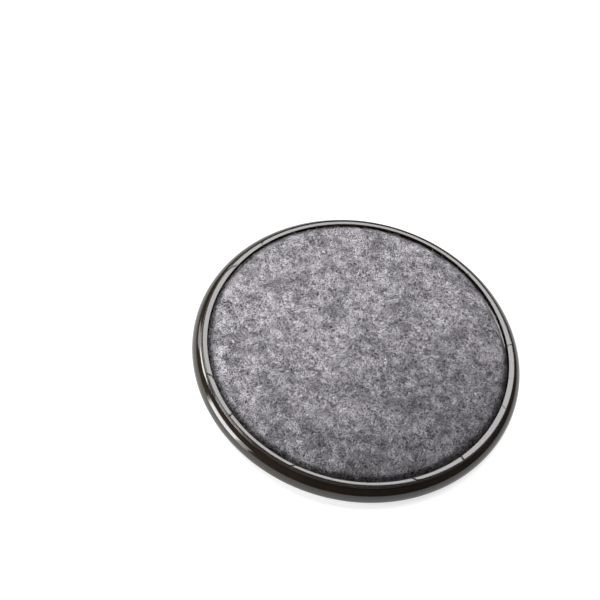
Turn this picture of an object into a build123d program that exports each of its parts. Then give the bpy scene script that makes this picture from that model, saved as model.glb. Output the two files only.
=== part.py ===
from build123d import *

import math
import os

# Castor cup, in millimetres. It lies on its mouth rim with the felt face up.
# Z runs up the axis of the cup, and z = 0 is the plane of the mouth rim.

# Overall form of the moulding
outer_radius = 32.0  # widest ring of the skirt
cup_height = 4.3  # mouth rim to the crest of the bead
widest_height = 1.45  # mouth rim to the widest ring

# Bead round the felt
bead_crest_radius = 29.85
bead_width = 1.1
bead_crown_width = 0.86  # rounded crest, between the bevels on its two sides
bead_crown_radius = 2.3
bead_bevel_drop = 0.14  # height of each bevel
felt_pocket_depth = 0.9  # crest of the bead down to the face under the felt
pocket_foot_bevel = 0.25  # in the corner between the bead and that face

# Outer side of the bead, down to the top of the skirt
bead_outer_depth = 0.68  # below the crest of the bead

# Mouth rim
rim_outer_radius = 31.4  # outer end of the flat that the cup stands on
rim_inner_radius = 30.6  # inner end of that flat
rim_outer_bevel_width = 0.3
rim_outer_bevel_rise = 0.4
rim_inner_bevel_width = 0.35
rim_inner_bevel_rise = 0.2

# Inside of the cup
cup_depth = 1.8  # mouth rim to the foot of the cove
cove_foot_radius = 25.5
floor_radius = 24.9
floor_step = 0.12  # crisp step from the foot of the cove down to the flat floor

# Square seat in the floor of the cup
seat_side = 29.2  # flat square at the bottom of the seat
seat_corner_radius = 1.2
bevel_width = 3.4  # in plan, from the flat square out to the floor of the cup
bevel_corner_radius = 2.6
seat_depth = 0.85  # below the floor of the cup

# Felt disc
felt_gap = 0.3  # from the inner side of the bead to the foot of the felt
felt_thickness = 1.4
felt_side_width = 0.5  # in plan, of the sloped side, from its foot in to the shoulder
felt_shoulder_width = 0.8  # in plan, from the side in to the flat top
felt_shoulder_drop = 0.4

# Levels and radii that follow from these
felt_seat_z = cup_height - felt_pocket_depth
felt_pocket_radius = bead_crest_radius - bead_width / 2
felt_radius = felt_pocket_radius - felt_gap
felt_top_z = felt_seat_z + felt_thickness
felt_shoulder_radius = felt_radius - felt_side_width
bead_outer_radius = bead_crest_radius + bead_width / 2
skirt_top_z = cup_height - bead_outer_depth
floor_z = cup_depth + floor_step
bevel_side = seat_side + 2 * bevel_width


def bead_profile():
    """Outline of the bead, from the felt pocket over the rounded crest to the top of the skirt."""
    half_crown = bead_crown_width / 2
    crown_sag = bead_crown_radius - math.sqrt(bead_crown_radius**2 - half_crown**2)
    crown_z = cup_height - crown_sag
    side_z = crown_z - bead_bevel_drop
    crown_inner = (bead_crest_radius - half_crown, crown_z)
    crown_outer = (bead_crest_radius + half_crown, crown_z)
    foot = (felt_pocket_radius - pocket_foot_bevel, felt_seat_z)
    foot_top = (felt_pocket_radius, felt_seat_z + pocket_foot_bevel)
    return [
        Polyline(foot, foot_top, (felt_pocket_radius, side_z), crown_inner),
        ThreePointArc(crown_inner, (bead_crest_radius, cup_height), crown_outer),
        Polyline(crown_outer, (bead_outer_radius, side_z), (bead_outer_radius, skirt_top_z)),
    ]


def skirt_profile(rim_edge):
    """The convex skirt: two arcs that meet upright at the widest ring."""
    widest = (outer_radius, widest_height)
    return [
        TangentArc(widest, (bead_outer_radius, skirt_top_z), tangent=(0, 1)),
        TangentArc(widest, rim_edge, tangent=(0, -1)),
    ]


def cup_section():
    """Half section of the moulding, radius along x and height along y."""
    rim_edge = (rim_outer_radius + rim_outer_bevel_width, rim_outer_bevel_rise)
    cove_lip = (rim_inner_radius - rim_inner_bevel_width, rim_inner_bevel_rise)
    cove_foot = (cove_foot_radius, cup_depth)
    outline = [
        Polyline((0, floor_z), (0, felt_seat_z), (felt_pocket_radius - pocket_foot_bevel, felt_seat_z)),
        *bead_profile(),
        *skirt_profile(rim_edge),
        Polyline(rim_edge, (rim_outer_radius, 0), (rim_inner_radius, 0), cove_lip),
        TangentArc(cove_foot, cove_lip, tangent=(1, 0)),
        Polyline(cove_foot, (floor_radius, floor_z), (0, floor_z)),
    ]
    return make_face(outline)


def seat_pocket():
    """Square recess with bevelled sides and rounded corners, in the floor of the cup."""
    mouth = RectangleRounded(bevel_side, bevel_side, bevel_corner_radius)
    bottom = RectangleRounded(seat_side, seat_side, seat_corner_radius)
    return loft([Pos(0, 0, floor_z) * mouth, Pos(0, 0, floor_z + seat_depth) * bottom])


def cup():
    """The moulding: bead, skirt and coved inside turned as one section, then the square seat."""
    return revolve(Plane.XZ * cup_section(), Axis.Z) - seat_pocket()


def felt_section():
    """Half section of the felt disc, which spreads at its foot and has a softened shoulder."""
    foot = (felt_radius, felt_seat_z)
    shoulder = (felt_shoulder_radius, felt_top_z - felt_shoulder_drop)
    top_edge = (felt_shoulder_radius - felt_shoulder_width, felt_top_z)
    return make_face(Polyline((0, felt_seat_z), foot, shoulder, top_edge, (0, felt_top_z), close=True))


def felt_pad():
    """Felt disc on the floor of its pocket."""
    return revolve(Plane.XZ * felt_section(), Axis.Z)


os.makedirs("parts", exist_ok=True)
export_step(cup(), "parts/cup.step")
export_step(felt_pad(), "parts/felt_pad.step")
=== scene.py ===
"""Castor cup: a turned plastic moulding with a felt disc in its upper face, on a pale studio floor.

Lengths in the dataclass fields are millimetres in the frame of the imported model, and angles are degrees. The
meshes are in metres. The cup lies on its mouth rim with the felt face up.
"""

from __future__ import annotations

import logging
import math
from dataclasses import dataclass, field
from enum import Enum
from typing import Any, Mapping, Sequence, Union

import bpy
import numpy as np
from mathutils import Matrix, Quaternion, Vector

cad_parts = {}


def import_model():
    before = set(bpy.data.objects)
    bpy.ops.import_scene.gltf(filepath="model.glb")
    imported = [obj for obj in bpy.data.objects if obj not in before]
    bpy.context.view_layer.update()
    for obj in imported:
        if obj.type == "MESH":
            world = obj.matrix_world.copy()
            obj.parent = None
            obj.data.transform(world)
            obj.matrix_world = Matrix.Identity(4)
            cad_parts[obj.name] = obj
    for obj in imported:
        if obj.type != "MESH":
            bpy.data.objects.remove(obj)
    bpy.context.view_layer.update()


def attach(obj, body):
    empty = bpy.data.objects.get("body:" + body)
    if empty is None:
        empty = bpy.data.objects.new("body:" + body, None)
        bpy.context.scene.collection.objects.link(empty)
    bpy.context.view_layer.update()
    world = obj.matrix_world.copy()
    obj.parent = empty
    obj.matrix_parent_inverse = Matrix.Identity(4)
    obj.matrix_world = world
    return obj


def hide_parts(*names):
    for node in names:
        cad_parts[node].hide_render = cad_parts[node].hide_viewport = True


LOG = logging.getLogger("castor_cup")

MM = 0.001
BAKE_MAP = "OFBake"
TINT = "tint"
SHIFT_WAY = (1.0, 0.7, 0.4)
SPECK_CORE = 0.4
SLACK = 0.01

Array = np.ndarray
Socket = bpy.types.NodeSocket
Span = tuple[float, float]
Colour = tuple[float, float, float]
Number = Union[float, "Value"]


def linear(*screen: int) -> Colour:
    """Turns a colour as seen on a screen into the linear colour that a shader takes.

    Args:
        screen: Red, green and blue, from 0 to 255.

    Returns:
        The linear colour, each part from 0 to 1.
    """
    shares = [part / 255 for part in screen]
    red, green, blue = (s / 12.92 if s <= 0.04045 else ((s + 0.055) / 1.055) ** 2.4 for s in shares)
    return red, green, blue


class Blend(Enum):
    """How two colours are laid over each other."""

    MIX = "MIX"
    MULTIPLY = "MULTIPLY"


class Value:
    """One number socket of a shader, which takes part in arithmetic by adding Math nodes."""

    def __init__(self, shader: "Shader", socket: Socket) -> None:
        """Wraps an output that holds a number, of the shader that it belongs to."""
        self.shader = shader
        self.socket = socket

    def math(self, operation: str, *others: Number) -> "Value":
        """Adds one Math node that has this value as its first input."""
        return self.shader.math(operation, self, *others)

    def __add__(self, other: Number) -> "Value":
        """Sum."""
        return self.math("ADD", other)

    def __radd__(self, other: float) -> "Value":
        """Sum with a plain number on the left."""
        return self.math("ADD", other)

    def __sub__(self, other: Number) -> "Value":
        """Difference."""
        return self.math("SUBTRACT", other)

    def __rsub__(self, other: float) -> "Value":
        """Difference with a plain number on the left."""
        return self.shader.math("SUBTRACT", other, self)

    def __mul__(self, other: Number) -> "Value":
        """Product."""
        return self.math("MULTIPLY", other)

    def __rmul__(self, other: float) -> "Value":
        """Product with a plain number on the left."""
        return self.math("MULTIPLY", other)

    def between(self, low: float, high: float) -> "Value":
        """Rises smoothly from 0 at one value to 1 at another.

        Args:
            low: Value that gives 0.
            high: Value that gives 1. It may lie below low.

        Returns:
            The share, from 0 to 1.
        """
        sockets = {"Value": self, "From Min": low, "From Max": high}
        made = self.shader.node("ShaderNodeMapRange", {"interpolation_type": "SMOOTHSTEP"}, sockets)
        return Value(self.shader, made.outputs["Result"])


class Shader:
    """A material under construction, with one method for each way of adding nodes."""

    def __init__(self, name: str) -> None:
        """Starts an empty material of that name."""
        self.material = bpy.data.materials.new(name)
        self.material.use_nodes = True
        self.tree = self.material.node_tree
        self.tree.nodes.clear()
        self.coordinates: Socket | None = None

    def node(
        self, kind: str, settings: Mapping[str, Any] | None = None, sockets: Mapping[Any, Any] | None = None
    ) -> bpy.types.Node:
        """Adds one node.

        Args:
            kind: The node's type.
            settings: Its properties, set before its sockets.
            sockets: Values or links of its inputs, by name or number.

        Returns:
            The node.
        """
        made = self.tree.nodes.new(kind)
        for name, setting in (settings or {}).items():
            setattr(made, name, setting)
        for key, value in (sockets or {}).items():
            if value is not None:
                self.feed(made.inputs[key], value)
        return made

    def feed(self, socket: Socket, value: Any) -> None:
        """Links or sets one input, from a Value, a socket, a colour or a number."""
        if isinstance(value, Value):
            self.tree.links.new(value.socket, socket)
        elif isinstance(value, Socket):
            self.tree.links.new(value, socket)
        elif socket.type == "RGBA":
            socket.default_value = (*value, 1.0)
        else:
            socket.default_value = value

    def math(self, operation: str, *values: Number) -> Value:
        """Adds one Math node with the given inputs."""
        made = self.node("ShaderNodeMath", {"operation": operation}, dict(enumerate(values)))
        return Value(self, made.outputs[0])

    def place(self) -> Socket:
        """Gives the coordinates on the object, in metres, from one node that all patterns share."""
        if self.coordinates is None:
            self.coordinates = self.node("ShaderNodeTexCoord").outputs["Object"]
        return self.coordinates

    def vector(self, operation: str, *values: Any) -> Socket:
        """Adds one Vector Math node that gives a vector."""
        made = self.node("ShaderNodeVectorMath", {"operation": operation}, dict(enumerate(values)))
        return made.outputs["Vector"]

    def measure(self, operation: str, *values: Any) -> Value:
        """Adds one Vector Math node that gives a number."""
        made = self.node("ShaderNodeVectorMath", {"operation": operation}, dict(enumerate(values)))
        return Value(self, made.outputs["Value"])

    def noise(
        self,
        feature: float,
        detail: float = 2.0,
        roughness: float = 0.5,
        shift: float = 0.0,
        where: Socket | None = None,
    ) -> Value:
        """Adds a soft random pattern.

        Args:
            feature: Size of its features, in millimetres.
            detail: Number of finer layers.
            roughness: Weight of the finer layers.
            shift: Distance that tells like patterns apart, in metres.
            where: Coordinates that it follows, or none for the place on the object.

        Returns:
            The pattern, from 0 to 1.
        """
        place = self.place() if where is None else where
        moved = self.vector("ADD", place, tuple(shift * part for part in SHIFT_WAY))
        sockets = {"Vector": moved, "Scale": 1 / (feature * MM), "Detail": detail, "Roughness": roughness}
        return Value(self, self.node("ShaderNodeTexNoise", {}, sockets).outputs[0])

    def waver(self, length: Value, feature: float, reach: float, roughness: float, shift: float) -> Value:
        """Makes a length in metres uneven by up to half the reach, in millimetres, either way."""
        return length + (self.noise(feature, roughness=roughness, shift=shift) - 0.5) * (reach * MM)

    def strands(self, feature: float, levels: float, width: float, shift: float) -> Value:
        """Adds a mat of thin curly lines, with 1 on a line: contours of a noise, at so many levels of it."""
        contour = (self.noise(feature, detail=1.5, shift=shift) * levels).math("PINGPONG", 0.5)
        return contour.between(width, 0.0)

    def specks(self, spacing: float, size: float) -> Value:
        """Adds scattered dots, with 1 in a dot, of a spacing in millimetres and a size as a share of it."""
        sockets = {"Vector": self.place(), "Scale": 1 / (spacing * MM)}
        dots = Value(self, self.node("ShaderNodeTexVoronoi", {"feature": "F1"}, sockets).outputs["Distance"])
        return dots.between(size, size * SPECK_CORE)

    def ramp(self, value: Number, stops: Sequence[tuple[float, Colour]]) -> Socket:
        """Turns a value from 0 to 1 into a colour, by the place and colour of each stop."""
        made = self.node("ShaderNodeValToRGB", {}, {"Fac": value})
        elements = made.color_ramp.elements
        while len(elements) < len(stops):
            elements.new(1.0)
        for element, (place, colour) in zip(elements, stops):
            element.position, element.color = place, (*colour, 1.0)
        return made.outputs["Color"]

    def grey(self, value: Value) -> Socket:
        """Turns a value from 0 to 1 into a grey."""
        return self.node("ShaderNodeCombineColor", {}, {0: value, 1: value, 2: value}).outputs[0]

    def lay(self, share: Number, under: Any, over: Any, blend: Blend = Blend.MIX) -> Socket:
        """Lays one colour over another, for a share of its strength."""
        settings = {"data_type": "RGBA", "blend_type": blend.value}
        return self.node("ShaderNodeMix", settings, {0: share, 6: under, 7: over}).outputs[2]

    def bump(self, height: Value, depth: float, strength: float, under: Any = None) -> Socket:
        """Turns a height into a normal.

        Args:
            height: Height from 0 to 1.
            depth: What 1 stands for, in millimetres.
            strength: Strength of the effect, from 0 to 1.
            under: Normal that it is added to.

        Returns:
            The normal.
        """
        sockets = {"Height": height, "Distance": depth * MM, "Strength": strength, "Normal": under}
        return self.node("ShaderNodeBump", {}, sockets).outputs["Normal"]

    def finish(self, sockets: Mapping[str, Any]) -> bpy.types.Material:
        """Ends the material with a Principled surface that takes these inputs."""
        surface = self.node("ShaderNodeBsdfPrincipled", {}, sockets).outputs[0]
        self.node("ShaderNodeOutputMaterial", {}, {"Surface": surface})
        return self.material


@dataclass(frozen=True)
class GlossyPlastic:
    """Dark brown moulded plastic with a satin gloss, faintly mottled, scratched and dusty."""

    base: Colour = linear(34, 27, 20)
    worn: Colour = linear(43, 35, 28)
    dust: Colour = linear(150, 146, 140)
    gloss: float = 0.08
    dull: float = 0.16
    ior: float = 1.62
    mottle_size: float = 5.0
    mottle_range: Span = (0.35, 0.75)
    haze_size: float = 1.1
    haze_range: Span = (0.3, 0.8)
    dusty_size: float = 6.0
    dusty_range: Span = (0.5, 0.62)
    speck_spacing: float = 2.3
    speck_size: float = 0.035
    speck_cover: float = 0.7
    speck_dulling: float = 0.4
    scratch_size: float = 3.5
    scratch_slimness: float = 14.0
    scratch_depth: float = 0.003
    scratch_strength: float = 0.3
    grain_size: float = 0.35
    grain_depth: float = 0.004
    grain_strength: float = 0.35

    def specks(self, shader: Shader) -> Value:
        """Scatters specks of dust over the dusty patches, with 1 in a speck and 0 elsewhere."""
        patches = shader.noise(self.dusty_size, detail=1.0, shift=0.5).between(*self.dusty_range)
        return shader.specks(self.speck_spacing, self.speck_size) * patches

    def roughness(self, shader: Shader, specks: Value) -> Value:
        """Dulls the gloss by a thin haze and by the specks of dust."""
        haze = shader.noise(self.haze_size, detail=3.0, roughness=0.65, shift=0.2).between(*self.haze_range)
        hazy = self.gloss + (self.dull - self.gloss) * haze
        return (hazy + specks * self.speck_dulling).math("MINIMUM", 1.0)

    def relief(self, shader: Shader) -> Socket:
        """Gives the normal of the surface, with the moulded grain and the long fine scratches."""
        grain = shader.noise(self.grain_size, roughness=0.6, shift=0.1)
        normal = shader.bump(grain, self.grain_depth, self.grain_strength)
        slim = (1.0, self.scratch_slimness, self.scratch_slimness)
        drawn_out = shader.vector("MULTIPLY", shader.place(), slim)
        scratches = shader.noise(self.scratch_size, detail=3.0, roughness=0.7, where=drawn_out)
        return shader.bump(scratches, self.scratch_depth, self.scratch_strength, normal)

    def material(self) -> bpy.types.Material:
        """Builds the material."""
        shader = Shader("cup_plastic")
        mottle = shader.noise(self.mottle_size, detail=3.0, roughness=0.6).between(*self.mottle_range)
        specks = self.specks(shader)
        colour = shader.lay(mottle, self.base, self.worn)
        sockets = {
            "Base Color": shader.lay(specks * self.speck_cover, colour, self.dust),
            "Roughness": self.roughness(shader, specks),
            "IOR": self.ior,
            "Normal": self.relief(shader),
        }
        return shader.finish(sockets)


@dataclass(frozen=True)
class HeatheredFelt:
    """Needled felt of pale and dark grey fibres, blotched where the dark ones gather."""

    pale: Colour = linear(254, 251, 255)
    middle: Colour = linear(238, 234, 241)
    dark: Colour = linear(95, 91, 98)
    roughness: float = 0.95
    specular: float = 0.15
    blotch: float = 1.7
    wide_blotch: float = 4.42
    wide_share: float = 0.35
    blotch_range: Span = (0.4, 0.62)
    blotch_depth: float = 0.48
    # Painted shade, as of light that falls off across the felt:
    soil_angle: float = -45.0
    falloff_reach: Span = (-8.0, 36.0)
    falloff_patch: float = 9.0
    falloff_waver: float = 14.0
    falloff_depth: float = 0.47
    # Painted shade towards the felt's cut edge:
    edge_reach: Span = (27.6, 29.0)
    edge_shade_patch: float = 0.8
    edge_shade_waver: float = 1.2
    edge_shade_depth: float = 0.76
    body_stop: float = 0.74
    fibre_stops: Span = (0.36, 0.8)
    nap_size: float = 0.22
    nap_depth: float = 0.12
    nap_strength: float = 0.8

    def blotches(self, shader: Shader) -> Value:
        """Gives the brightness of the uneven mix of fibres, 1 among the pale ones."""
        wide = shader.noise(self.wide_blotch, detail=1.0, shift=0.3)
        fine = shader.noise(self.blotch, detail=3.0, roughness=0.6, shift=0.6)
        mixed = self.wide_share * wide + (1 - self.wide_share) * fine
        return 1 - self.blotch_depth * mixed.between(*self.blotch_range)

    def painted_falloff(self, shader: Shader) -> Value:
        """Gives the painted shade of light falling off across the felt: 1 on its lit side, darker across it.
        """
        # Painted shade: the felt grows darker along one direction, as if the light fell off that way.
        turn = math.radians(self.soil_angle)
        along = shader.measure("DOT_PRODUCT", shader.place(), (math.cos(turn), math.sin(turn), 0.0))
        uneven = shader.waver(along, self.falloff_patch, self.falloff_waver, roughness=0.5, shift=0.35)
        lit_side, shaded_side = self.falloff_reach
        return 1 - self.falloff_depth * uneven.between(lit_side * MM, shaded_side * MM)

    def edge(self, shader: Shader) -> Value:
        """Gives the painted shade of the felt towards its cut edge beside the bead, 1 inside."""
        # Painted shade: the felt darkens over its outer millimetre or so, as if in the shade of the bead.
        flat = shader.vector("MULTIPLY", shader.place(), (1.0, 1.0, 0.0))
        radius = shader.measure("LENGTH", flat)
        ragged = shader.waver(radius, self.edge_shade_patch, self.edge_shade_waver, roughness=0.6, shift=0.45)
        inside, cut = self.edge_reach
        return 1 - self.edge_shade_depth * ragged.between(inside * MM, cut * MM)

    def sockets(self, shader: Shader, colour: Socket) -> dict[str, Any]:
        """Shades a colour of fibres with the blotches, the painted fall-off shade and the painted shade at the
        edge.
        """
        shade = self.blotches(shader) * self.painted_falloff(shader) * self.edge(shader)
        shaded = shader.lay(1.0, colour, shader.grey(shade), Blend.MULTIPLY)
        return {"Base Color": shaded, "Roughness": self.roughness, "Specular IOR Level": self.specular}

    def body(self) -> bpy.types.Material:
        """Builds the felt under its loose fibres, with lines for the fibres that lie flat."""
        shader = Shader("felt_body")
        wide = shader.strands(1.6, levels=9.0, width=0.2, shift=0.9)
        lines = shader.strands(1.2, levels=7.0, width=0.22, shift=0.8).math("MAXIMUM", wide)
        grain = lines * shader.noise(0.5, roughness=0.6, shift=0.7).between(0.3, 0.6)
        # The dark between the lines is partly the dark fibres of the mix and partly painted shade in the gaps
        # under the loose fibres.
        colour = shader.ramp(grain, [(0.0, self.dark), (self.body_stop, self.middle)])
        nap = shader.noise(self.nap_size, detail=3.0, roughness=0.7)
        normal = {"Normal": shader.bump(nap, self.nap_depth, self.nap_strength)}
        return shader.finish(self.sockets(shader, colour) | normal)

    def fibre(self) -> bpy.types.Material:
        """Builds the material of the loose fibres, whose tint differs from fibre to fibre."""
        shader = Shader("felt_fibre")
        tint = shader.node("ShaderNodeAttribute", {"attribute_name": TINT}).outputs["Fac"]
        stops = zip((0.0, *self.fibre_stops), (self.dark, self.middle, self.pale))
        colour = shader.ramp(Value(shader, tint), list(stops))
        return shader.finish(self.sockets(shader, colour))


@dataclass(frozen=True)
class StudioFloor:
    """Pale floor that stays white far from the lamps and keeps the object's shadow near it.

    The lengths are metres.
    """

    colour: Colour = (0.55, 0.55, 0.55)
    roughness: float = 0.9
    near_lift: float = 0.72
    lift_from: float = 0.05
    lift_to: float = 0.4

    def material(self) -> bpy.types.Material:
        """Builds the material."""
        shader = Shader("studio_floor")
        away = shader.measure("LENGTH", shader.place()).between(self.lift_from, self.lift_to)
        seen = shader.node("ShaderNodeLightPath").outputs
        rays = ("Is Camera Ray", "Is Glossy Ray", "Is Transmission Ray")
        camera, glossy, through = (Value(shader, seen[name]) for name in rays)
        shown = (camera + glossy + through).math("MINIMUM", 1.0)
        glow = shown * (self.near_lift + (1 - self.near_lift) * away)
        sockets = {
            "Base Color": self.colour,
            "Roughness": self.roughness,
            "Specular IOR Level": 0.0,
            "Emission Color": shader.grey(glow),
            "Emission Strength": 1.0,
        }
        return shader.finish(sockets)


@dataclass
class Relief:
    """Seeded random relief, as a sum of smooth layers with their own feature size and height.

    Each layer's lattice is turned, in radians, so that the layers don't line up.
    """

    seed: int
    layers: Sequence[Span]
    reach: float = 34.0
    first_turn: float = 0.6
    turn_step: float = 1.1
    lattices: list[Array] = field(default_factory=list)

    def __post_init__(self) -> None:
        """Draws the random lattice of each layer."""
        for number, (feature, _) in enumerate(self.layers):
            side = int(3 * self.reach / feature) + 4
            self.lattices.append(np.random.default_rng([self.seed, number]).normal(size=(side, side)))

    def heights(self, x: Array, y: Array) -> Array:
        """Gives the height of the relief at each point."""
        total = np.zeros_like(x)
        for number, ((feature, height), lattice) in enumerate(zip(self.layers, self.lattices)):
            turn = self.first_turn + self.turn_step * number
            u = (x * math.cos(turn) - y * math.sin(turn)) / feature + lattice.shape[0] / 2
            v = (x * math.sin(turn) + y * math.cos(turn)) / feature + lattice.shape[1] / 2
            i, j = np.floor(u).astype(int), np.floor(v).astype(int)
            s, t = u - i, v - j
            s, t = s * s * (3 - 2 * s), t * t * (3 - 2 * t)
            low = lattice[i, j] * (1 - s) + lattice[i + 1, j] * s
            high = lattice[i, j + 1] * (1 - s) + lattice[i + 1, j + 1] * s
            total += height * (low * (1 - t) + high * t)
        return total


def turned(radius: float | Array, angle: float | Array, height: float | Array) -> Array:
    """Gives the places at a distance from the axis, a direction in radians and a height."""
    return np.stack(np.broadcast_arrays(radius * np.cos(angle), radius * np.sin(angle), height), -1)


def linked(name: str, data: bpy.types.ID) -> bpy.types.Object:
    """Makes an object of its mesh, lamp or camera and links it to the scene."""
    made = bpy.data.objects.new(name, data)
    bpy.context.scene.collection.objects.link(made)
    return made


def mesh_object(
    name: str, points: Array, faces: Sequence[Sequence[int]] | Array, material: bpy.types.Material
) -> bpy.types.Object:
    """Makes a smooth-shaded object.

    Args:
        name: Name of the object.
        points: Places of its vertices, in millimetres.
        faces: Vertices of each face.
        material: What it is made of.

    Returns:
        The object, linked to the scene.
    """
    mesh = bpy.data.meshes.new(name)
    rows = faces.tolist() if isinstance(faces, Array) else faces
    mesh.from_pydata((points * MM).tolist(), [], rows)
    mesh.materials.append(material)
    mesh.polygons.foreach_set("use_smooth", np.ones(len(mesh.polygons), bool))
    mesh.update()
    return linked(name, mesh)


def give_map(made: bpy.types.Object, places: Array) -> None:
    """Gives an object the map that carries its finish over: a place from 0 to 1 for each vertex."""
    mesh = made.data
    corners = np.empty(len(mesh.loops), np.int32)
    mesh.loops.foreach_get("vertex_index", corners)
    layer = mesh.uv_layers.new(name=BAKE_MAP)
    layer.uv.foreach_set("vector", places[corners].astype(np.float32).ravel())


def ride(made: bpy.types.Object) -> bpy.types.Object:
    """Fixes an object to the part, and logs how many triangles it has."""
    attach(made, "root")
    triangles = sum(len(face.vertices) - 2 for face in made.data.polygons)
    LOG.info("%s: %d triangles", made.name, triangles)
    return made


def fillet(before: Array, corner: Array, after: Array, radius: float, steps: int) -> list[Array]:
    """Rounds one corner of a section.

    Args:
        before: Point before the corner, one row for each angle.
        corner: The corner.
        after: Point after it.
        radius: Radius of the rounding.
        steps: Number of chords in it.

    Returns:
        The points that take the corner's place.
    """
    to_before, to_after = before - corner, after - corner
    to_before /= np.linalg.norm(to_before, axis=1, keepdims=True)
    to_after /= np.linalg.norm(to_after, axis=1, keepdims=True)
    half = np.arccos(np.clip((to_before * to_after).sum(1, keepdims=True), -1, 1)) / 2
    middle = to_before + to_after
    middle /= np.linalg.norm(middle, axis=1, keepdims=True)
    centre = corner + middle * radius / np.sin(half)
    start = corner + to_before * radius / np.tan(half) - centre
    end = corner + to_after * radius / np.tan(half) - centre
    swept = np.pi - 2 * half
    points = []
    for share in np.arange(steps + 1) / steps:
        between = np.sin((1 - share) * swept) * start + np.sin(share * swept) * end
        points.append(centre + between / np.sin(swept))
    return points


@dataclass(frozen=True)
class Corner:
    """A point of a turned section. Its radius may differ from angle to angle."""

    radius: float | Array
    height: float
    rounding: float = 0.0
    steps: int = 4

    def row(self, count: int) -> Array:
        """Gives radius and height, with one row for each of the angles."""
        return np.stack([np.broadcast_to(self.radius, count), np.full(count, self.height)], 1).astype(float)


@dataclass(frozen=True)
class Arc:
    """A circular arc that leaves its first point in a given direction."""

    start: Span
    end: Span
    leaving: Span
    steps: int

    def points(self) -> list[Corner]:
        """Divides the arc into points, from its start to its end."""
        start, end, leaving = np.array(self.start), np.array(self.end), np.array(self.leaving, float)
        chord = end - start
        turn = math.atan2(leaving[0] * chord[1] - leaving[1] * chord[0], float(leaving @ chord))
        radius = float(np.linalg.norm(chord)) / (2 * math.sin(turn))
        sideways = np.array([-leaving[1], leaving[0]])
        found = []
        for step in range(self.steps + 1):
            angle = 2 * turn * step / self.steps
            place = start + radius * (math.sin(angle) * leaving + (1 - math.cos(angle)) * sideways)
            found.append(Corner(float(place[0]), float(place[1])))
        return found


@dataclass(frozen=True)
class Nick:
    """A small cut across the bead, which may lie aslant."""

    angle: float
    depth: float
    slant: float


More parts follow.
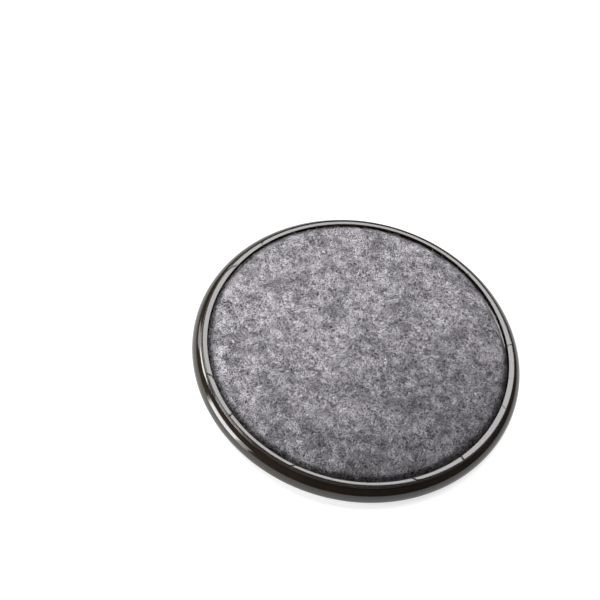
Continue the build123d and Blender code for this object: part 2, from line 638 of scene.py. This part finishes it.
@dataclass
class Moulding:
    """The plastic cup: bead and skirt turned about the axis, and a square seat inside its mouth."""

    outer_radius: float = 32.0
    height: float = 4.3
    widest_height: float = 1.45
    bead_radius: float = 29.85
    bead_width: float = 1.1
    crown_width: float = 0.9
    crown_radius: float = 2.6
    crown_points: int = 13
    bead_edge_round: float = 0.1
    bead_outer_depth: float = 0.68
    skirt_foot_round: float = 0.14
    skirt_steps: int = 30
    skirt_under_steps: int = 8
    pocket_depth: float = 0.9
    pocket_foot_round: float = 0.22
    pocket_margin: float = 1.5
    rim_outer: float = 31.4
    rim_outer_bevel: Span = (0.3, 0.4)
    rim_inner: float = 30.6
    rim_inner_bevel: Span = (0.35, 0.2)
    rim_round: float = 0.3
    lip_round: float = 0.5
    cup_depth: float = 1.8
    cove_foot: float = 25.5
    cove_steps: int = 26
    floor_radius: float = 24.9
    floor_step: float = 0.12
    step_round: float = 0.12
    seat_side: float = 29.2
    seat_corner: float = 1.2
    bevel_width: float = 3.4
    bevel_corner: float = 2.6
    seat_depth: float = 0.85
    seat_edge_round: float = 1.2
    centre_share: float = 0.02
    turn_step: float = 1.5
    corner_reach: float = 6.0
    corner_step: float = 0.4
    least_turn: float = 0.03
    nicks: Sequence[Nick] = (
        Nick(-7.0, 0.03, 0.8),
        Nick(-35.5, 0.07, 0.3),
        Nick(-56.0, 0.12, -0.6),
        Nick(-74.0, 0.03, 0.4),
        Nick(-101.0, 0.1, 0.5),
        Nick(-131.0, 0.09, -0.4),
        Nick(-149.0, 0.05, 0.6),
        Nick(-200.0, 0.05, -1.2),
        Nick(-216.0, 0.06, 0.9),
        Nick(-339.0, 0.03, -0.5),
    )
    nick_width: float = 0.11
    nick_steps: Sequence[float] = (0.2, 0.5, 0.9, 1.3, 1.8, 2.6, 4.0)
    nick_reach: float = 0.6
    finish: GlossyPlastic = field(default_factory=GlossyPlastic)

    def angles(self) -> Array:
        """Spaces the meridians: evenly, closer at the seat's corners and closest at the nicks in the bead.

        Returns:
            The angles, rising from 0 to a full turn, in radians.
        """
        chosen = list(np.arange(0, 360, self.turn_step))
        beside = np.arange(-self.corner_reach, self.corner_reach + self.least_turn, self.corner_step)
        for corner in (45, 135, 225, 315):
            chosen += list(corner + beside)
        steps = np.array(self.nick_steps)
        across = np.concatenate([-steps, steps]) * self.nick_width
        for nick in self.nicks:
            chosen += list((nick.angle + np.degrees(across / self.bead_radius)) % 360)
        chosen = np.unique(np.round(np.array(chosen), 3))
        kept = [chosen[0]]
        for angle in chosen[1:]:
            if angle - kept[-1] > self.least_turn:
                kept.append(angle)
        return np.radians(np.array(kept))

    @staticmethod
    def square_reach(angles: Array, side: float, corner: float) -> Array:
        """Measures a square with rounded corners from its middle.

        Args:
            angles: Directions, in radians.
            side: Side of the square.
            corner: Radius of its corners.

        Returns:
            The distance to its outline in each direction.
        """
        across, up = np.abs(np.cos(angles)), np.abs(np.sin(angles))
        straight = side / 2 / np.maximum(across, up)
        centre = side / 2 - corner
        along = centre * (across + up)
        rounded = along + np.sqrt(np.maximum(along**2 - 2 * centre**2 + corner**2, 0))
        in_corner = np.minimum(across, up) * straight > centre
        return np.where(in_corner, rounded, straight)

    def crown_height(self, across: float) -> float:
        """Height of the bead's crown at a distance from its middle."""
        return self.height - self.crown_radius + math.sqrt(self.crown_radius**2 - across**2)

    def bead(self) -> list[Corner]:
        """Draws the bead from its outer side over the crown to its inner side."""
        half, half_crown = self.bead_width / 2, self.crown_width / 2
        brow = self.crown_height(half)
        crown = [
            Corner(self.bead_radius + across, self.crown_height(across))
            for across in np.linspace(half_crown, -half_crown, self.crown_points).tolist()
        ]
        return [
            Corner(self.bead_radius + half, brow, self.bead_edge_round, 6),
            *crown,
            Corner(self.bead_radius - half, brow, self.bead_edge_round, 6),
        ]

    def section(self, angles: Array) -> list[Corner]:
        """Draws the half section from the middle of the seat round to the felt's pocket."""
        floor = self.cup_depth + self.floor_step
        inner = self.square_reach(angles, self.seat_side, self.seat_corner)
        outer = self.square_reach(angles, self.seat_side + 2 * self.bevel_width, self.bevel_corner)
        lip = (self.rim_inner - self.rim_inner_bevel[0], self.rim_inner_bevel[1])
        edge = (self.rim_outer + self.rim_outer_bevel[0], self.rim_outer_bevel[1])
        widest = (self.outer_radius, self.widest_height)
        half = self.bead_width / 2
        top = (self.bead_radius + half, self.height - self.bead_outer_depth)
        pocket = self.height - self.pocket_depth
        cove = Arc((self.cove_foot, self.cup_depth), lip, (1, 0), self.cove_steps).points()
        upper = Arc(widest, top, (0, 1), self.skirt_steps).points()
        lower = Arc(widest, edge, (0, -1), self.skirt_under_steps).points()
        # The arcs lose the points that lie inside the rounding of the corners beside them.
        return [
            Corner(inner * self.centre_share, floor + self.seat_depth),
            Corner(inner / 2, floor + self.seat_depth),
            Corner(inner, floor + self.seat_depth, self.seat_edge_round, 4),
            Corner(outer, floor, self.seat_edge_round, 4),
            Corner(self.floor_radius, floor, self.step_round, 3),
            Corner(self.cove_foot, self.cup_depth, self.step_round, 3),
            *cove[2:-2],
            Corner(*lip, self.lip_round, 3),
            Corner(self.rim_inner, 0.0, self.rim_round, 3),
            Corner(self.rim_outer, 0.0, self.rim_round, 4),
            *lower[::-1][1:],
            *upper[1:-3],
            Corner(*top, self.skirt_foot_round, 6),
            *self.bead(),
            Corner(self.bead_radius - half, pocket, self.pocket_foot_round, 6),
            Corner(self.bead_radius - half - self.pocket_margin, pocket),
            Corner(inner * self.centre_share, pocket),
        ]

    def rings(self, angles: Array) -> Array:
        """Rounds the section's corners, and gives radius and height of each point at each angle."""
        corners = self.section(angles)
        rows = [corner.row(len(angles)) for corner in corners]
        found = []
        for number, corner in enumerate(corners):
            if corner.rounding > 0:
                before, here, after = rows[number - 1 : number + 2]
                found += fillet(before, here, after, corner.rounding, corner.steps)
            else:
                found.append(rows[number])
        return np.stack(found)

    def nick(self, rings: Array, angles: Array) -> Array:
        """Sinks small cuts across the bead, in the radius and height of its points."""
        radius, height = rings[..., 0], rings[..., 1]
        depth = np.zeros_like(height)
        for nick in self.nicks:
            turn = (angles - math.radians(nick.angle) + math.pi) % (2 * math.pi) - math.pi
            across = turn[None, :] * self.bead_radius + nick.slant * (radius - self.bead_radius)
            depth = np.maximum(depth, nick.depth * np.exp(-((across / self.nick_width) ** 2)))
        on_bead = np.abs(radius - self.bead_radius) < self.bead_width / 2 + SLACK
        on_bead &= height > self.height - self.bead_outer_depth * self.nick_reach
        rings = rings.copy()
        rings[..., 1] -= depth * on_bead
        return rings

    def build(self) -> bpy.types.Object:
        """Turns the section and dresses it."""
        angles = self.angles()
        rings = self.nick(self.rings(angles), angles)
        count, turns = rings.shape[:2]
        radius, height = rings[..., 0], rings[..., 1]
        points = turned(radius, angles, height).reshape(-1, 3)
        first = np.arange(turns)
        after = (first + 1) % turns
        last = (count - 1) * turns
        faces = []
        for low in range(0, last, turns):
            high = low + turns
            faces.append(np.stack([high + first, high + after, low + after, low + first], 1))
        centres = np.array([[0, 0, height[0, 0]], [0, 0, height[-1, 0]]])
        seat_middle, pocket_middle = len(points), len(points) + 1
        rows = np.concatenate(faces).tolist()
        rows += [[seat_middle, int(a), int(b)] for a, b in zip(after, first)]
        rows += [[pocket_middle, int(last + a), int(last + b)] for a, b in zip(first, after)]
        made = mesh_object("cup_moulding", np.concatenate([points, centres]), rows, self.finish.material())
        steps = np.linalg.norm(np.diff(rings.mean(1), axis=0), axis=1)
        along = np.concatenate([[0], np.cumsum(steps)]) / steps.sum()
        places = np.stack(np.broadcast_arrays(along[:, None], angles[None] / (2 * math.pi)), 2).reshape(-1, 2)
        give_map(made, np.concatenate([places, [[0, 0], [1, 0]]]))
        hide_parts("cup")
        return ride(made)


@dataclass
class FeltPad:
    """The felt disc: a thick, slightly lumpy pad under a mat of loose fibres."""

    radius: float = 29.0
    shoulder: float = 28.5
    seat: float = 3.4
    thickness: float = 1.4
    nap_room: float = 0.06
    edge_width: float = 3.0
    edge_drop: float = 0.4
    shoulder_width: float = 0.6
    shoulder_drop: float = 0.25
    lip: Span = (29.22, 3.7)
    lip_rag: float = 0.03
    lip_inset: float = 0.05
    lip_turns: tuple[int, int] = (41, 97)
    bare_angle: float = 35.0
    bare_width: float = 15.0
    bare_depth: float = 0.5
    side_steps: int = 6
    side_relief: float = 0.6
    foot_inset: float = 0.02
    foot_lift: float = 0.01
    cells: int = 230
    rim_crowding: float = 0.35
    map_reach: float = 29.29
    relief: Relief = field(
        default_factory=lambda: Relief(41, [(6.0, 0.035), (2.4, 0.04), (1.0, 0.03), (0.45, 0.022)])
    )
    finish: HeatheredFelt = field(default_factory=HeatheredFelt)
    fibre_seed: int = 78
    fibre_pieces: int = 4
    fibres_each: int = 6900
    fibre_nodes: int = 5
    fibre_length: Span = (0.8, 2.6)
    fibre_radius: Span = (0.021, 0.041)
    fibre_curl: float = 0.7
    fibre_kink: float = 0.28
    fibre_taper: float = 0.75
    fibre_rise: float = 0.2
    rise_shape: Span = (1.0, 1.6)
    arch_shape: float = 0.7
    fibre_tuck: float = 0.05
    fibre_waver: float = 0.012
    edge_share: float = 0.07
    edge_band: float = 0.6
    edge_reach: Span = (-0.5, -0.02)
    inner_reach: Span = (-1.2, -0.6)
    stray_share: float = 0.006
    stray_reach: Span = (0.4, 1.2)
    stray_height: float = 4.35
    tint_from: float = 0.12
    # Painted light: how much paler a fibre gets the higher it rises.
    painted_light_gain: float = 0.9
    tint_spread: float = 0.16
    dark_share: float = 0.1

    def top(self, x: Array, y: Array) -> Array:
        """Gives the height of the pad's upper face at each point, which falls away round the edge."""
        past = np.hypot(x, y) - self.shoulder
        outward = np.clip(past / self.edge_width + 1, 0, 1)
        round_off = np.clip(past / self.shoulder_width + 1, 0, 1)
        fall = self.edge_drop * outward**2 + self.shoulder_drop * (1 - np.sqrt(1 - round_off**2))
        return self.seat + self.thickness - self.nap_room - fall + self.relief.heights(x, y)

    def lip_radius(self, angle: Array) -> Array:
        """Gives the radius of the ragged foot, less where the felt leaves its pocket bare."""
        turn = (np.degrees(angle) - self.bare_angle + 180) % 360 - 180
        slow, quick = self.lip_turns
        ragged = self.lip_rag * (np.sin(angle * slow + 1) + np.sin(angle * quick)) - self.lip_inset
        return self.lip[0] + ragged - self.bare_depth * np.exp(-((turn / self.bare_width) ** 4))

    def side(self, x: Array, y: Array) -> Array:
        """Gives the height of the felt's face at each point, out over its shoulder and down its side."""
        down = np.clip((np.hypot(x, y) - self.shoulder) / (self.lip[0] - self.shoulder), 0, 1)
        return self.top(x, y) * (1 - down) + self.lip[1] * down

    def disc(self) -> tuple[Array, list[list[int]], Array]:
        """Lays a grid of cells over the disc.

        Returns:
            Places of the points on the disc, the cells, and the points round the edge in order.
        """
        side = self.cells + 1
        even = np.linspace(-1, 1, side)
        line = self.rim_crowding * np.sin(even * math.pi / 2) + (1 - self.rim_crowding) * even
        u, v = (grid.ravel() for grid in np.meshgrid(line, line, indexing="ij"))
        flat = np.stack([u * np.sqrt(1 - v * v / 2), v * np.sqrt(1 - u * u / 2)], 1) * self.shoulder
        corner = (np.arange(self.cells)[:, None] * side + np.arange(self.cells)).ravel()
        cells = np.stack([corner, corner + side, corner + side + 1, corner + 1], 1)
        number = np.arange(side * side).reshape(side, side)
        edge = np.concatenate([number[:-1, 0], number[-1, :-1], number[:0:-1, -1], number[0, :0:-1]])
        return flat, cells.tolist(), edge

    def side_rings(self, ring: Array) -> list[Array]:
        """Brings the ring round the pad's face down its side, with the last ring at the foot."""
        angle = np.arctan2(ring[:, 1], ring[:, 0])
        lip = self.lip_radius(angle)
        sizes = []
        for step in range(1, self.side_steps):
            share = step / (self.side_steps - 1)
            lumps = self.relief.heights(ring[:, 0], ring[:, 1] + step) * self.side_relief
            height = ring[:, 2] * (1 - share) + self.lip[1] * share + lumps
            sizes.append((self.shoulder * (1 - share) + lip * share, height))
        foot = np.full(len(ring), self.seat + self.foot_lift)
        sizes.append((np.minimum(lip, self.radius) - self.foot_inset, foot))
        return [turned(radius, angle, height) for radius, height in sizes]

    def pad(self) -> bpy.types.Object:
        """Builds the pad itself, which stands for its node."""
        flat, faces, edge = self.disc()
        face = np.column_stack([flat, self.top(flat[:, 0], flat[:, 1])])
        rings = self.side_rings(face[edge])
        upper = edge
        for number in range(len(rings)):
            lower = len(flat) + number * len(edge) + np.arange(len(edge))
            faces += np.stack([upper, lower, np.roll(lower, -1), np.roll(upper, -1)], 1).tolist()
            upper = lower
        faces.append(upper[::-1].tolist())
        points = np.concatenate([face, *rings])
        made = mesh_object("felt_pad_body", points, faces, self.finish.body())
        give_map(made, points[:, :2] / (2 * self.map_reach) + 0.5)
        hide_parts("felt_pad")
        return ride(made)

    def fibre_lines(self, random: np.random.Generator) -> tuple[Array, Array]:
        """Lays curly lines over the disc, more of them at its edge.

        Args:
            random: Source of their places and shapes.

        Returns:
            The places of each line's points on the disc, and which lines stray over the bead.
        """
        count, nodes = self.fibres_each, self.fibre_nodes
        kind = random.uniform(0, 1, count)
        stray, edge = kind < self.stray_share, kind < self.edge_share
        radius = self.shoulder * np.sqrt(random.uniform(0, 1, count))
        radius = np.where(edge, random.uniform(self.shoulder - self.edge_band, self.radius, count), radius)
        around = random.uniform(0, 2 * math.pi, count)
        middle = turned(radius, around, 0.0)[:, :2]
        length = random.uniform(*self.fibre_length, count)
        heading = random.uniform(0, 2 * math.pi, count)
        bend = random.normal(0, self.fibre_curl, count) * length
        kinks = np.cumsum(random.normal(0, self.fibre_kink, (count, nodes)), 1)
        direction = heading[:, None] + bend[:, None] * np.linspace(-0.5, 0.5, nodes) + kinks
        step = (length / (nodes - 1))[:, None, None] * np.stack([np.cos(direction), np.sin(direction)], 2)
        line = np.cumsum(step, 1)
        line += middle[:, None] - line.mean(1, keepdims=True)
        lip = self.lip_radius(np.arctan2(line[..., 1], line[..., 0]))
        at_edge = random.uniform(*self.edge_reach, count)
        inside = random.uniform(*self.inner_reach, count)
        astray = self.radius + random.uniform(*self.stray_reach, count)
        most = np.where(stray[:, None], astray[:, None], lip + np.where(edge, at_edge, inside)[:, None])
        line *= np.minimum(1, most / np.hypot(line[..., 0], line[..., 1]))[..., None]
        return line, stray

    def fibre_paths(self, random: np.random.Generator) -> tuple[Array, Array]:
        """Lays curly fibres on the pad, down its side and, a few of them, over the bead.

        Args:
            random: Source of their places and shapes.

        Returns:
            The points of each fibre, and its tint: the random mix of pale and dark fibres, with painted light
                that makes it paler the higher it lies.
        """
        line, stray = self.fibre_lines(random)
        count, nodes = line.shape[:2]
        share = np.linspace(-0.5, 0.5, nodes)
        rise = random.beta(*self.rise_shape, count)
        arch = (rise * self.fibre_rise)[:, None] * np.cos(share * math.pi) ** self.arch_shape
        arch -= self.fibre_tuck * (2 * np.abs(share)) ** 4
        height = self.side(line[..., 0], line[..., 1]) + arch
        height += random.normal(0, self.fibre_waver, (count, nodes))
        height = np.where(stray[:, None], np.maximum(height, self.stray_height), height)
        # The tint is partly the random heathered mix and partly painted light: paler with height, with the low
        # fibres in painted shade.
        tint = self.tint_from + self.painted_light_gain * rise + random.normal(0, self.tint_spread, count)
        tint = np.where(random.uniform(size=count) < self.dark_share, 0.0, np.clip(tint, 0, 1))
        return np.concatenate([line, height[..., None]], 2), tint

    def fibres(self, number: int) -> bpy.types.Object:
        """Builds one of the layers of loose fibres, each fibre a three-sided tube."""
        random = np.random.default_rng([self.fibre_seed, number])
        paths, tint = self.fibre_paths(random)
        count, nodes = paths.shape[:2]
        along = np.gradient(paths, axis=1)
        along /= np.linalg.norm(along, axis=2, keepdims=True)
        side = np.cross(along, [0, 0, 1])
        side /= np.linalg.norm(side, axis=2, keepdims=True)
        over = np.cross(side, along)
        taper = 1 - self.fibre_taper * np.abs(np.linspace(-1, 1, nodes)) ** 3
        thick = random.uniform(*self.fibre_radius, count)[:, None, None] * taper[None, :, None]
        tube = [paths + thick * (side * math.cos(a) + over * math.sin(a)) for a in np.radians([90, 210, 330])]
        corner = np.arange(count * nodes * 3).reshape(count, nodes, 3)
        turned = np.roll(corner, -1, 2)
        quads = np.stack([corner[:, :-1], turned[:, :-1], turned[:, 1:], corner[:, 1:]], 3)
        rows = quads.reshape(-1, 4).tolist() + corner[:, 0, ::-1].tolist() + corner[:, -1].tolist()
        points = np.stack(tube, 2).reshape(-1, 3)
        made = mesh_object(f"felt_fibres_{number + 1}", points, rows, self.finish.fibre())
        layer = made.data.attributes.new(TINT, "FLOAT", "POINT")
        layer.data.foreach_set("value", np.repeat(tint, nodes * 3).astype(np.float32))
        side_count = math.ceil(math.sqrt(count))
        cell = np.stack(np.divmod(np.arange(count), side_count), 1)[:, None, None]
        down, across = np.meshgrid(np.linspace(0.1, 0.9, nodes), [0.15, 0.5, 0.85], indexing="ij")
        give_map(made, ((cell + np.stack([down, across], 2)) / side_count).reshape(-1, 2))
        return ride(made)

    def build(self) -> list[bpy.types.Object]:
        """Builds the pad and its fibres, and gives them as a list."""
        return [self.pad()] + [self.fibres(number) for number in range(self.fibre_pieces)]


@dataclass(frozen=True)
class SoftBox:
    """A rectangular lamp that looks at the object."""

    name: str
    azimuth: float
    elevation: float
    distance: float
    width: float
    height: float
    radiance: float
    roll: float = 0.0

    def build(self) -> bpy.types.Object:
        """Hangs the lamp. Azimuth 0 is behind the object as the camera sees it, 90 on its right."""
        data = bpy.data.lights.new(self.name, "AREA")
        data.shape = "RECTANGLE"
        data.size, data.size_y = self.width * MM, self.height * MM
        data.energy = self.radiance * math.pi * data.size * data.size_y
        made = linked(self.name, data)
        around, up = math.radians(self.azimuth), math.radians(self.elevation)
        way = Vector((math.sin(around) * math.cos(up), math.cos(around) * math.cos(up), math.sin(up)))
        made.location = way * self.distance * MM
        made.visible_camera = False
        turn = way.to_track_quat("Z", "Y") @ Quaternion((0, 0, 1), math.radians(self.roll))
        made.rotation_euler = turn.to_euler()
        return made


@dataclass
class Studio:
    """Floor with a low raised rim, soft lamps and a dim room."""

    floor_rings: Sequence[float] = (120.0, 500.0, 2000.0)
    rim_round: float = 250.0
    rim_steps: int = 9
    turns: int = 96
    room: float = 0.05
    floor: StudioFloor = field(default_factory=StudioFloor)
    lamps: Sequence[SoftBox] = (
        SoftBox("key", 20.0, 56.5, distance=1200.0, width=1250.0, height=450.0, radiance=7.6, roll=20.0),
        SoftBox("side", -119.5, 12.5, distance=178.0, width=74.0, height=78.0, radiance=9.0),
        SoftBox("side_soft", -122.0, 13.0, distance=178.0, width=108.0, height=88.0, radiance=4.0),
        SoftBox("strip", -77.0, 45.4, distance=168.6, width=42.0, height=54.0, radiance=14.5),
        SoftBox("strip_low", -71.6, 27.5, distance=173.4, width=30.0, height=50.0, radiance=4.5),
    )

    def ground(self) -> bpy.types.Object:
        """Builds the floor, whose rim curls up, as a stage for the part."""
        turns = self.turns
        section = [(radius, 0.0) for radius in self.floor_rings]
        for angle in np.arange(1, self.rim_steps + 1) * (math.pi / 2 / self.rim_steps):
            out, rise = self.rim_round * math.sin(angle), self.rim_round * (1 - math.cos(angle))
            section.append((self.floor_rings[-1] + out, rise))
        around = np.linspace(0, 2 * math.pi, turns, endpoint=False)
        points = [[0.0, 0.0, 0.0]]
        for radius, height in section:
            points += turned(radius, around, height).tolist()
        faces = [[0, 1 + n, 1 + (n + 1) % turns] for n in range(turns)]
        for ring in range(len(section) - 1):
            low, high = 1 + ring * turns, 1 + (ring + 1) * turns
            for here, after in ((n, (n + 1) % turns) for n in range(turns)):
                faces.append([low + here, high + here, high + after, low + after])
        made = mesh_object("studio_floor", np.array(points), faces, self.floor.material())
        return made

    def build(self) -> list[bpy.types.Object]:
        """Builds the floor and the lamps."""
        ground = self.ground()
        world = bpy.data.worlds.new("studio_room")
        world.use_nodes = True
        background = world.node_tree.nodes["Background"].inputs
        background["Color"].default_value = (1.0, 1.0, 1.0, 1.0)
        background["Strength"].default_value = self.room
        bpy.context.scene.world = world
        LOG.info("studio: floor and %d lamps", len(self.lamps))
        return [ground] + [lamp.build() for lamp in self.lamps]


@dataclass(frozen=True)
class Portrait:
    """The camera, which looks down on the felt face from the front."""

    lens: float = 135.0
    sensor: float = 36.0
    elevation: float = 55.826
    roll: float = 16.24
    distance: float = 432.707
    target_height: float = 4.3
    aim_right: float = -11.39
    aim_up: float = 9.26
    clip: Span = (0.01, 20.0)

    def build(self) -> bpy.types.Object:
        """Places the camera."""
        rise, roll = math.radians(self.elevation), math.radians(self.roll)
        back = Vector((0, -math.cos(rise), math.sin(rise)))
        level = Vector((1, 0, 0))
        upright = back.cross(level)
        right = level * math.cos(roll) + upright * math.sin(roll)
        up = upright * math.cos(roll) - level * math.sin(roll)
        target = Vector((0, 0, self.target_height))
        place = target + back * self.distance
        forward = (target + right * self.aim_right + up * self.aim_up - place).normalized()
        across = forward.cross(up).normalized()
        data = bpy.data.cameras.new("portrait")
        data.lens, data.sensor_width = self.lens, self.sensor
        data.clip_start, data.clip_end = self.clip
        made = linked("portrait", data)
        turn = Matrix((across, across.cross(forward), -forward)).transposed().to_4x4()
        made.matrix_world = Matrix.Translation(place * MM) @ turn
        bpy.context.scene.camera = made
        return made


def main() -> None:
    """Builds the castor cup in its studio."""
    logging.basicConfig(level=logging.INFO, format="%(message)s")
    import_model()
    bpy.context.scene.view_settings.view_transform = "Standard"
    Portrait().build()
    Moulding().build()
    FeltPad().build()
    Studio().build()


if __name__ == "__main__":
    main()
